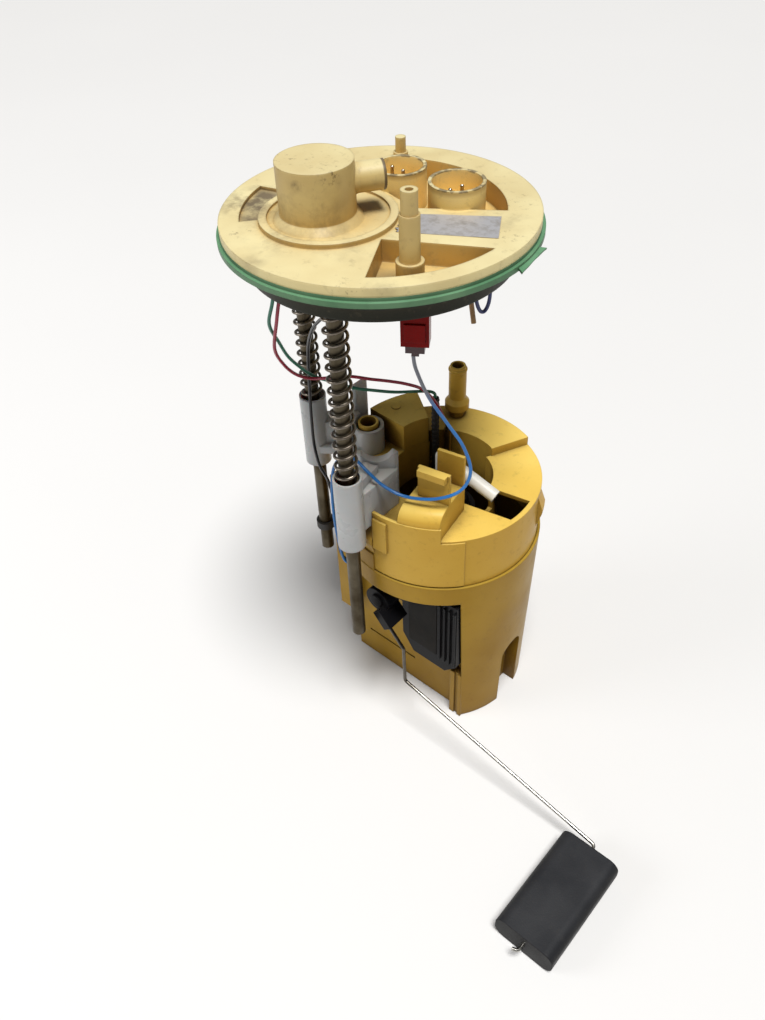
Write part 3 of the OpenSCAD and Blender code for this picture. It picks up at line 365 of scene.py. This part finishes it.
# A mask of the flange's hollows, which get painted shade.
hollow_shade = w.sheltered(0.02, 0.85, 0.45)
cloudy = w.noise(75.0, 6, 0.65)
blotch = w.remap(cloudy, 0.42, 0.66)
solid_grime = w.remap(cloudy, 0.20, 0.45)
fleck = w.remap(w.noise(420.0, 5, 0.7), 0.57, 0.66)


def about_sockets(z, spare, softness):
    """A mask of both round sockets at a height, with some spare round each wall."""
    return w.plus(*(
        w.near((x, y, z), radius + spare, radius + spare + softness)
        for x, y, radius in ((-0.0004, 0.0085, 0.0135), (-0.031, 0.0065, 0.0130))
    ))


def paint(material, *names):
    for name in names:
        nodes[name].data.materials.clear()
        nodes[name].data.materials.append(material)


socket_rims = w.times(w.remap(height, 0.3132, 0.3136), w.remap(height, 0.3146, 0.3143))
socket_rims = w.times(socket_rims, about_sockets(0.314, 0.0, 0.0005))
grime_and_shade = w.times(socket_rims, w.times(w.remap(w.noise(260.0, 4), 0.44, 0.54), 0.8))
for centre, inner, outer, pattern, strength in (
    ((-0.0190, -0.0480, 0.3320), 0.001, 0.007, fleck, 1.0),
    ((-0.0440, -0.0505, 0.3310), 0.001, 0.008, fleck, 0.7),
    ((-0.0340, -0.0435, 0.3325), 0.004, 0.018, fleck, 0.35),
    ((-0.0290, -0.0592, 0.3269), 0.0008, 0.0030, blotch, 0.9),
    ((-0.0187, -0.0496, 0.3285), 0.001, 0.006, blotch, 0.5),
    ((-0.0690, -0.0480, 0.3044), 0.010, 0.019, blotch, 1.0),
    ((-0.0230, -0.0240, 0.3070), 0.006, 0.017, solid_grime, 0.33),
    ((-0.0517, -0.0726, 0.3060), 0.001, 0.006, fleck, 1.0),
    ((-0.0294, -0.0863, 0.3060), 0.001, 0.008, blotch, 0.5),
    ((-0.0360, -0.0560, 0.3075), 0.016, 0.026, blotch, 0.45),
    ((0.0150, -0.0777, 0.3060), 0.001, 0.009, fleck, 0.8),
    ((0.0250, -0.0707, 0.3060), 0.001, 0.008, blotch, 0.45),
    ((0.0220, 0.0210, 0.3060), 0.002, 0.010, fleck, 1.0),
    ((0.0340, 0.0040, 0.3060), 0.002, 0.010, blotch, 0.45),
    ((0.0376, -0.0072, 0.3060), 0.001, 0.008, fleck, 0.9),
    ((0.0090, -0.0512, 0.2980), 0.003, 0.010, solid_grime, 0.55),
    ((-0.0100, -0.0500, 0.3060), 0.004, 0.024, blotch, 0.30),
):
    spot = w.times(w.times(w.near(centre, inner, outer), pattern), strength)
    grime_and_shade = w.plus(grime_and_shade, spot)

# A dark brown ring of painted shade lies at the end of the outlet spigot, and the floor of
# the recess at the left of the turret is brown with old fuel. The spigot lies 55 degrees
# round from the x axis.
SPIGOT_WAY = (0.573576, 0.819152, 0)
along = w.vector("DOT_PRODUCT", w.place(), SPIGOT_WAY)["Value"]
spigot_end_shade = w.times(w.remap(along, -0.0275, -0.0271),
                     w.near((-0.0177, -0.0202, 0.322), 0.0072, 0.0074))
grime_and_shade = w.plus(grime_and_shade, spigot_end_shade)
recess = w.times(w.remap(height, 0.3056, 0.3050), w.remap(from_axis, 0.0625, 0.0620))
recess = w.times(recess, w.near((-0.066, -0.047, 0.304), 0.026, 0.030))
grime_and_shade = w.plus(grime_and_shade, w.times(w.times(recess, solid_grime), 0.5))

# The light that shines through the thin walls of the sockets and the edge of the rim is
# painted as a glow. Hollows get painted shade in a deeper tone, and the neck below the seal
# is painted near-black olive all over.
glowing = about_sockets(0.304, 0.001, 0.001)
hollow_shade_and_glow = w.mix(glowing, (0.66, 0.44, 0.135, 1), (0.95, 0.70, 0.25, 1))
thin_wall_glow = w.plus(w.remap(from_axis, 0.0670, 0.0685), glowing)
side_shade_and_glow = w.mix(thin_wall_glow, (*SIDE_SHADE_IVORY, 1), (0.98, 0.94, 0.84, 1))
w.tree.links.new(side_shade_and_glow, group_in(flange_ivory)["Side Shade"])
# The neck below the seal is painted near-black olive.
for socket, clean, darkened in (("Colour", IVORY, (0.013, 0.015, 0.0025, 1)),
                               ("Deep", DEEP_IVORY, (0.009, 0.011, 0.002, 1))):
    tone = w.mix(hollow_shade, (*clean, 1), hollow_shade_and_glow)
    tone = w.mix(neck, tone, darkened)
    tone = w.mix(grime_and_shade, tone, GRIME_AND_SHADE)
    w.tree.links.new(tone, group_in(flange_ivory)[socket])
paint(flange_ivory, "flange_plate")

# The seal is a flat ring of green fluoro rubber under the rim of the flange. Its lip is
# torn at the right, where a strip of it stands out. Its upright faces are painted darker as
# shade.
LIP_R, LIP_Z, LIP_WALL = 0.0712, 0.2990, 0.0009
TEAR_START, TEAR_SPAN = 0.035, 0.285
seal_green = moulded("seal_green", (0.15, 0.32, 0.18), (0.09, 0.23, 0.12), (0.03, 0.05, 0.03),
                     dirt_and_shade=0.35, rough=0.42, grain=0.3, edge=0.0006, drift=50.0,
                     side=(0.72, 0.66, 0.62), Specular_IOR_Level=0.25)
paint(seal_green, "seal_ring")
bpy.ops.mesh.primitive_grid_add(x_subdivisions=48, y_subdivisions=4, size=2)
torn_lip = bpy.context.object
torn_lip.name = "torn_lip"
for v in torn_lip.data.vertices:
    s, t = (v.co.x + 1) / 2, (v.co.y + 1) / 2
    to_end = 2 * s - 1
    angle = TEAR_START + TEAR_SPAN * s + 0.02 * to_end**5 * t
    radius = LIP_R + (0.0018 + 0.0011 * to_end**6 + 0.0002 * sin(9 * s)) * t
    v.co = (FLANGE_X + radius * cos(angle), FLANGE_Y + radius * sin(angle), LIP_Z - 0.0007 * t)
solid = torn_lip.modifiers.new("rubber", "SOLIDIFY")
solid.thickness = LIP_WALL
solid.offset = 0
bpy.ops.object.modifier_apply(modifier="rubber")
bpy.ops.object.shade_smooth_by_angle(angle=0.6)
torn_lip.data.materials.append(seal_green)
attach(torn_lip, "flange")

# The six pins are round tinned brass, moulded into the floors of the two sockets. Theirs
# is the first of the worn metals: a tone that brushing and stains break up.
metal_group, given, sink = effect_group("worn_metal", [
    ("Colour", "Color", (0.5, 0.5, 0.5, 1)), ("Stain Colour", "Color", (0.1, 0.06, 0.03, 1)),
    ("Stain", "Float", 0.4), ("Roughness", "Float", 0.3), ("Scale", "Float", 60.0),
])
w = Wiring(metal_group)
patch = w.remap(w.noise(given["Scale"], 5, 0.6), 0.38, 0.66)
amount = w.times(patch, given["Stain"])
darkened = w.mix(amount, given["Colour"], given["Stain Colour"])
brushing = w.noise(900.0, 2, 0.5, stretch=(1.0, 1.0, 0.08))
dull = w.plus(given["Roughness"], w.times(amount, 0.3))
gloss = w.plus(dull, w.remap(brushing, 0.3, 0.7, -0.06, 0.06))
relief = w.add("Bump", {"Strength": 0.12, "Distance": 0.0001, "Height": brushing}).outputs[0]
w.put_out(sink, darkened, gloss, relief)


def metal(name, colour, stain_colour=(0.10, 0.07, 0.04), stain=0.4, rough=0.3, scale=60.0):
    return finished(name, metal_group, {
        "Colour": (*colour, 1), "Stain Colour": (*stain_colour, 1), "Stain": stain,
        "Roughness": rough, "Scale": scale,
    }, Metallic=1.0)


tinned_pins = metal("tinned_pins", (0.62, 0.58, 0.50), (0.30, 0.22, 0.12), 0.5, 0.25, 300.0)
paint(tinned_pins, "front_terminals", "rear_terminals")

# The label on the flange is silvery foil and is left bare. Its left end has been peeled
# and torn, so that its edge is ragged and one corner lifts a little.
LABEL_Z, FOIL_WALL = 0.30606, 0.00008
high_left, high_right, low_right, low_left = (
    Vector((FLANGE_X + x, FLANGE_Y + y, 0))
    for x, y in ((0.0112, 0.0008), (0.047, 0.0241), (0.0578, 0.007), (0.0185, -0.0149)))
bpy.ops.mesh.primitive_grid_add(x_subdivisions=24, y_subdivisions=12, size=2)
label = bpy.context.object
label.name = "bare_label"
for v in label.data.vertices:
    s, t = (v.co.x + 1) / 2, (v.co.y + 1) / 2
    torn = max(0.0, 0.06 - s) * (0.6 + 0.5 * sin(31 * t) + 0.35 * sin(77 * t + 1))
    ripple = 0.00012 * max(0.0, sin(9 * s + 4 * t))
    curl = 0.004 * max(0.0, 0.1 - s) * (1 - t)
    v.co = low_left.lerp(low_right, s).lerp(high_left.lerp(high_right, s), t)
    v.co += (low_right - low_left) * torn
    v.co.z = LABEL_Z + ripple + curl
solid = label.modifiers.new("foil", "SOLIDIFY")
solid.thickness = FOIL_WALL
solid.offset = 1
bpy.ops.object.modifier_apply(modifier="foil")
bpy.ops.object.shade_smooth_by_angle(angle=0.6)
foil, shader, w = new_material("label_foil", Metallic=0.35)
scuff = w.remap(w.noise(160.0, 6, 0.7), 0.45, 0.7)
foil_tone = w.mix(scuff, (0.50, 0.50, 0.52, 1), (0.30, 0.28, 0.26, 1))
crease = w.add("Bump", {"Strength": 0.5, "Distance": 0.0003, "Height": w.noise(240.0, 3)})
w.tree.links.new(foil_tone, shader.inputs["Base Color"])
w.tree.links.new(w.remap(scuff, 0, 1, 0.32, 0.6), shader.inputs["Roughness"])
w.tree.links.new(crease.outputs[0], shader.inputs["Normal"])
label.data.materials.append(foil)
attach(label, "flange")

# The two guide rods are ground steel tubes, pressed into bosses under the flange. Fuel
# has left brown varnish on them. A rubber ring near the lower end of the rear rod is its
# stop, and the pump's mount and the lead sleeve are of the same rubber.
rod_metal = metal("rod_varnish", (0.105, 0.088, 0.060), (0.040, 0.027, 0.011), 0.8, 0.34, 45.0)
paint(rod_metal, "front_rod", "rear_rod")
rubber = moulded("black_rubber", (0.018, 0.017, 0.016), (0.03, 0.028, 0.025), dirt_and_shade=0.2,
                 rough=0.6, grain=0.3)
paint(rubber, "stop_ring", "pump_mount", "lead_sleeve")

# Each spring is wound from 1.6 mm wire round its rod and pressed between the cup of the
# sleeve and the flange. Its last turn at each end is closed and lies flat.
SEAT, TOP = 0.180744, 0.293
COIL_R, COIL_WIRE_R, TURNS, STEPS_A_TURN = 0.0052, 0.0008, 19, 24
CLOSED_TURN, CLOSED_PITCH, FIRST_ANGLE = 0.75, 1.7 * COIL_WIRE_R, 2.4
closed_rise = CLOSED_PITCH * CLOSED_TURN
open_rise = TOP - SEAT - 2 * COIL_WIRE_R - 2 * closed_rise
spring_metal = metal("spring_wire", (0.23, 0.20, 0.165), (0.08, 0.06, 0.04), 0.6, 0.28, 140.0)
for name, x, y in (("front_spring", -0.0075, -0.065), ("rear_spring", -0.0695, -0.026)):
    line = []
    for i in range(TURNS * STEPS_A_TURN + 1):
        turn = i / STEPS_A_TURN
        open_share = (turn - CLOSED_TURN) / (TURNS - 2 * CLOSED_TURN)
        rise = (CLOSED_PITCH * min(turn, CLOSED_TURN)
                + open_rise * min(max(open_share, 0.0), 1.0)
                + closed_rise - CLOSED_PITCH * min(TURNS - turn, CLOSED_TURN))
        angle = 2 * pi * turn + FIRST_ANGLE
        line.append(Vector((x + COIL_R * cos(angle), y + COIL_R * sin(angle),
                            SEAT + COIL_WIRE_R + rise)))
    coil = tube_along(name + "_coil", line, COIL_WIRE_R)
    coil.data.materials.append(spring_metal)
    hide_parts(name)
    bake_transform(coil)

# The two brackets are moulded in natural nylon, off-white and a little see-through, and
# are clipped to the cover. Each has a sleeve in which a rod runs. Their upright faces are
# painted darker as shade.
nylon = moulded("natural_nylon", (0.58, 0.58, 0.57), (0.50, 0.50, 0.49), (0.20, 0.14, 0.07),
                dirt_and_shade=0.2, rough=0.3, grain=0.12, edge=0.0018, drift=30.0,
                side=(0.70, 0.71, 0.72), Subsurface_Weight=0.15, Subsurface_Scale=0.004)
paint(nylon, "front_bracket", "rear_bracket")

# The pot and its cover are acetal too, and fuel has turned them amber. Their hollows and
# upright faces are painted darker as shade, and the pot's darker amber is a shaded copy of
# the cover's, painted shade for its sides. The cover drops into the pot's rim and is held by
# moulded clips.
SHADE_AMBER = (0.17, 0.09, 0.018, 1)
for name, tone, deep, painted in (
    ("amber_cover", (0.76, 0.55, 0.140), (0.66, 0.44, 0.085), ("pot_cover", "sensor_clip")),
    ("amber_pot_shaded", (0.50, 0.34, 0.050), (0.37, 0.23, 0.022), ("pot",)),
):
    amber = moulded(name, tone, deep, (0.10, 0.06, 0.02), dirt_and_shade=0.4, rough=0.34, grain=0.12,
                    edge=0.0008, drift=16.0, side=(0.72, 0.62, 0.40), Specular_IOR_Level=0.12)
    w = Wiring(amber.node_tree)
    # The hollows of the pot and cover are painted dark amber as shade.
    inside_shade = w.sheltered(0.03, 0.60, 0.25)
    for socket, outside in (("Colour", tone), ("Deep", deep)):
        shaded = w.mix(inside_shade, (*outside, 1), SHADE_AMBER)
        w.tree.links.new(shaded, group_in(amber)[socket])
    paint(amber, *painted)


# The hose spigot ends in a low rounded bead that holds the hose. It is moulded with the
# cover. The black sleeve beside it is corrugated tube, with a rib every 3 mm.
def ring_round(name, centre, radius, half_width, squash):
    """A ring of oval section, squash times as tall as it is wide, about an upright axis."""
    bpy.ops.object.select_all(action="DESELECT")
    bpy.ops.mesh.primitive_torus_add(
        major_radius=radius, minor_radius=half_width, major_segments=48, minor_segments=12)
    made = bpy.context.object
    made.name = name
    for v in made.data.vertices:
        v.co = Vector((v.co.x, v.co.y, v.co.z * squash)) + Vector(centre)
    bpy.ops.object.shade_smooth()
    return made


bead = ring_round("spigot_bead", (-0.022, 0.0415, 0.1906), 0.0046, 0.0008, 1.3)
bead.data.materials.append(bpy.data.materials["amber_cover"])
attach(bead, "pot")
ribs = ring_round("sleeve_ribs", (-0.0195, 0.0185, 0.1535), 0.0018, 0.0005, 1.4)
row = ribs.modifiers.new("row", "ARRAY")
row.count = 11
row.use_relative_offset = False
row.use_constant_offset = True
row.constant_offset_displace = (0, 0, 0.003)
bpy.ops.object.modifier_apply(modifier="row")
ribs.data.materials.append(rubber)
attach(ribs, "pot")

# The spout is a white pipe from the filter to the slot in the cover, lightly soiled. The
# foot valve and the jet pump in the floor of the pot are moulded in the same plastic.
white = moulded("white_pipe", (0.72, 0.71, 0.66), (0.62, 0.60, 0.53), (0.08, 0.06, 0.04),
                dirt_and_shade=0.5, drift=80.0)
paint(white, "nozzle_pipe", "foot_valve", "jet_pump")

# The level sensor is clipped to the flat of the pot: a black housing with a resistor
# card behind the hub that carries the arm. The caps and the impeller of the pump are
# of the same black plastic, and a brass wiper runs on the card.
black = moulded("black_housing", (0.004, 0.004, 0.005), (0.006, 0.006, 0.007),
                (0.03, 0.025, 0.02), dirt_and_shade=0.15, rough=0.30, drift=60.0,
                Specular_IOR_Level=0.08)
paint(black, "sensor_body", "arm_hub", "pump_outlet_cap", "pump_inlet_cap", "impeller")
card = moulded("resistor_card", (0.010, 0.008, 0.006), (0.007, 0.006, 0.005),
               (0.06, 0.04, 0.02), edge=0.0, drift=90.0, Specular_IOR_Level=0.05)
paint(card, "sensor_card")
paint(metal("contact_brass", (0.60, 0.42, 0.16), stain=0.2), "wiper", "contact_lug")

# The float is a block of closed-cell rubber foam, black and finely pitted, threaded on
# the end of the arm, where it can turn. Its sides are painted darker than its top as shade.
foam = moulded("float_foam", (0.018, 0.019, 0.022), (0.028, 0.029, 0.032), (0.05, 0.045, 0.04),
               rough=0.48, grain=0.6, edge=0.0012, drift=50.0, side=(0.4, 0.38, 0.36),
               Specular_IOR_Level=0.15)
paint(foam, "float_block")

# Inside the pot stands the pump: a plated can with a wound armature between ferrite
# magnets, carbon brushes on its commutator, and a strainer of cloth below.
plated = metal("plated_can", (0.55, 0.56, 0.58), (0.25, 0.22, 0.18), 0.4, 0.25, 80.0)
paint(plated, "pump_can", "rotor_shaft", "check_ball")
copper = metal("copper_winding", (0.60, 0.22, 0.09), (0.20, 0.07, 0.03), 0.4, 0.3, 200.0)
paint(copper, "armature", "commutator")
ferrite = moulded("magnet_ferrite", (0.05, 0.05, 0.052), (0.07, 0.068, 0.066), dirt_and_shade=0.2,
                  rough=0.5)
paint(ferrite, "pump_magnets", "pump_brushes")
cloth = moulded("filter_cloth", (0.62, 0.58, 0.48), (0.50, 0.45, 0.34), dirt_and_shade=0.5, rough=0.8,
                grain=0.8, drift=200.0)
paint(cloth, "strainer")

# The red plug is a glossy nylon moulding that hangs under the neck on the blue lead. A
# dark tip of softer plastic grips the lead below it.
red = moulded("red_plug", (0.20, 0.002, 0.001), (0.13, 0.001, 0.001), (0.03, 0.004, 0.004),
              dirt_and_shade=0.2, rough=0.25, grain=0.05, drift=60.0, Specular_IOR_Level=0.08)
paint(red, "red_connector")
tip = moulded("plug_tip", (0.03, 0.008, 0.010), (0.05, 0.010, 0.012), dirt_and_shade=0.1, rough=0.25,
              grain=0.05, edge=0.0004)
paint(tip, "connector_tip")


# The arm is one piece of stainless wire, bent cold: down beside the sensor, out along the
# tank's floor, and across through the float, with a hook at its end. It is painted dark on
# the leg beside the sensor, above the bend.
def rounded_route(points, radius, steps=8):
    """Straight runs between points in millimetres, with a round bend at each corner."""
    points = [Vector(p) / 1000 for p in points]
    line = [points[0]]
    for a, b, c in zip(points, points[1:], points[2:]):
        into, out = (b - a).normalized(), (c - b).normalized()
        half = into.angle(out) / 2
        side = (out - into).normalized()
        onward = (into + out).normalized()
        centre = b + side * radius / cos(half)
        for k in range(steps + 1):
            angle = -half + 2 * half * k / steps
            line.append(centre - side * radius * cos(angle) + onward * radius * sin(angle))
    return line + [points[-1]]


ARM_WIRE_R, ARM_BEND_R = 0.001, 0.0024
LEG_FROM, LEG_ABOVE = 0.0385, 0.0405
arm_line = rounded_route(
    [(2.945, -56.5, 87.957), (18.4, -56.5, 70), (18.8, -56.5, 41), (152, -56.5, 9.3),
     (152, -128, 9.3), (149.08, -129.5, 9.99)], ARM_BEND_R)
arm = tube_along("arm_wire_bent", arm_line, ARM_WIRE_R, 12)
arm_steel = metal("arm_steel", (0.60, 0.59, 0.56), (0.22, 0.19, 0.15), 0.35, 0.22, 70.0)
w = Wiring(arm_steel.node_tree)
leg = w.remap(w.height(), LEG_FROM, LEG_ABOVE)
arm_tone = w.mix(leg, (0.44, 0.43, 0.40, 1), (0.085, 0.078, 0.066, 1))
w.tree.links.new(arm_tone, group_in(arm_steel)["Colour"])
arm.data.materials.append(arm_steel)
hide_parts("arm_wire")
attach(arm, "float_arm")
